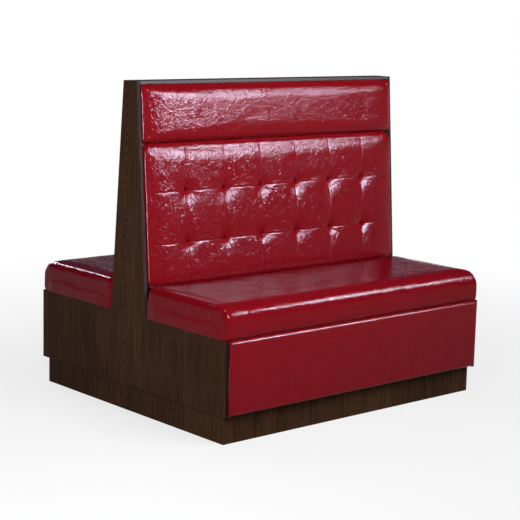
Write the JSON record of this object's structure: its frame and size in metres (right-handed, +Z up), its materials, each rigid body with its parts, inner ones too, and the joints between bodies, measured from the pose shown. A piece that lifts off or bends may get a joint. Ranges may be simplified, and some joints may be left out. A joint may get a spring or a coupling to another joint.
{
  "type": "restaurant booth seating",
  "caption": "Back-to-back upholstered restaurant booth: padded seats and a tufted back with a plain head roll between tapered dark wood ends on a recessed plinth.",
  "frame": {"origin": "on the floor, under the middle of the booth", "axes": "+X along the benches, +Z up, the front bench faces -Y and the rear bench faces +Y"},
  "size_m": [1.22, 1.094, 1.155],
  "materials": {
    "dark_wood": "open-grained veneer, stained nearly black brown, satin lacquer",
    "wood_edging": "thin matching edging on the panel edges, satin lacquer",
    "plywood": "raw birch plywood, sanded",
    "softwood": "raw planed softwood",
    "foam": "open-cell upholstery foam, matt",
    "red_vinyl": "dark red leather-look vinyl with a fine crackled grain, glossy",
    "webbing": "woven polyester webbing"
  },
  "bodies": {
    "booth": {"back_end_ribs": "plywood", "back_low_rails": "softwood", "back_middle_rails": "softwood", "back_middle_ribs": "plywood", "back_top_rails": "softwood", "front_back_board": "plywood", "front_back_cover": "red_vinyl", "front_back_foam": "foam", "front_back_tuft_straps": "webbing", "front_bottom_rail": "softwood", "front_box_ribs": "plywood", "front_fascia_board": "plywood", "front_fascia_cover": "red_vinyl", "front_fascia_foam": "foam", "front_headroll_board": "plywood", "front_headroll_cover": "red_vinyl", "front_headroll_foam": "foam", "front_seat_bearer": "softwood", "front_side_bearers": "softwood", "front_top_rail": "softwood", "left_base_edge_strips": "wood_edging", "left_base_panel": "dark_wood", "left_mast": "dark_wood", "left_mast_edge_strips": "wood_edging", "plinth_corner_blocks": "softwood", "plinth_cross_rails": "softwood", "plinth_front": "dark_wood", "plinth_left": "dark_wood", "plinth_rear": "dark_wood", "plinth_right": "dark_wood", "rear_back_board": "plywood", "rear_back_cover": "red_vinyl", "rear_back_foam": "foam", "rear_back_tuft_straps": "webbing", "rear_bottom_rail": "softwood", "rear_box_ribs": "plywood", "rear_fascia_board": "plywood", "rear_fascia_cover": "red_vinyl", "rear_fascia_foam": "foam", "rear_headroll_board": "plywood", "rear_headroll_cover": "red_vinyl", "rear_headroll_foam": "foam", "rear_seat_bearer": "softwood", "rear_side_bearers": "softwood", "rear_top_rail": "softwood", "right_base_edge_strips": "wood_edging", "right_base_panel": "dark_wood", "right_mast": "dark_wood", "right_mast_edge_strips": "wood_edging", "top_cap": "dark_wood", "top_cap_edge_strips": "wood_edging"},
    "front_seat": {"front_seat_board": "plywood", "front_seat_foam": "foam", "front_seat_cover": "red_vinyl", "front_seat_locating_battens": "softwood"},
    "rear_seat": {"rear_seat_board": "plywood", "rear_seat_foam": "foam", "rear_seat_cover": "red_vinyl", "rear_seat_locating_battens": "softwood"}
  },
  "joints": [
    {"name": "front_seat_lift_off", "type": "slide", "parent": "booth", "child": "front_seat", "axis": [0, -0.7071, 0.7071], "range_m": [0, 0.3]},
    {"name": "rear_seat_lift_off", "type": "slide", "parent": "booth", "child": "rear_seat", "axis": [0, 0.7071, 0.7071], "range_m": [0, 0.3]}
  ]
}
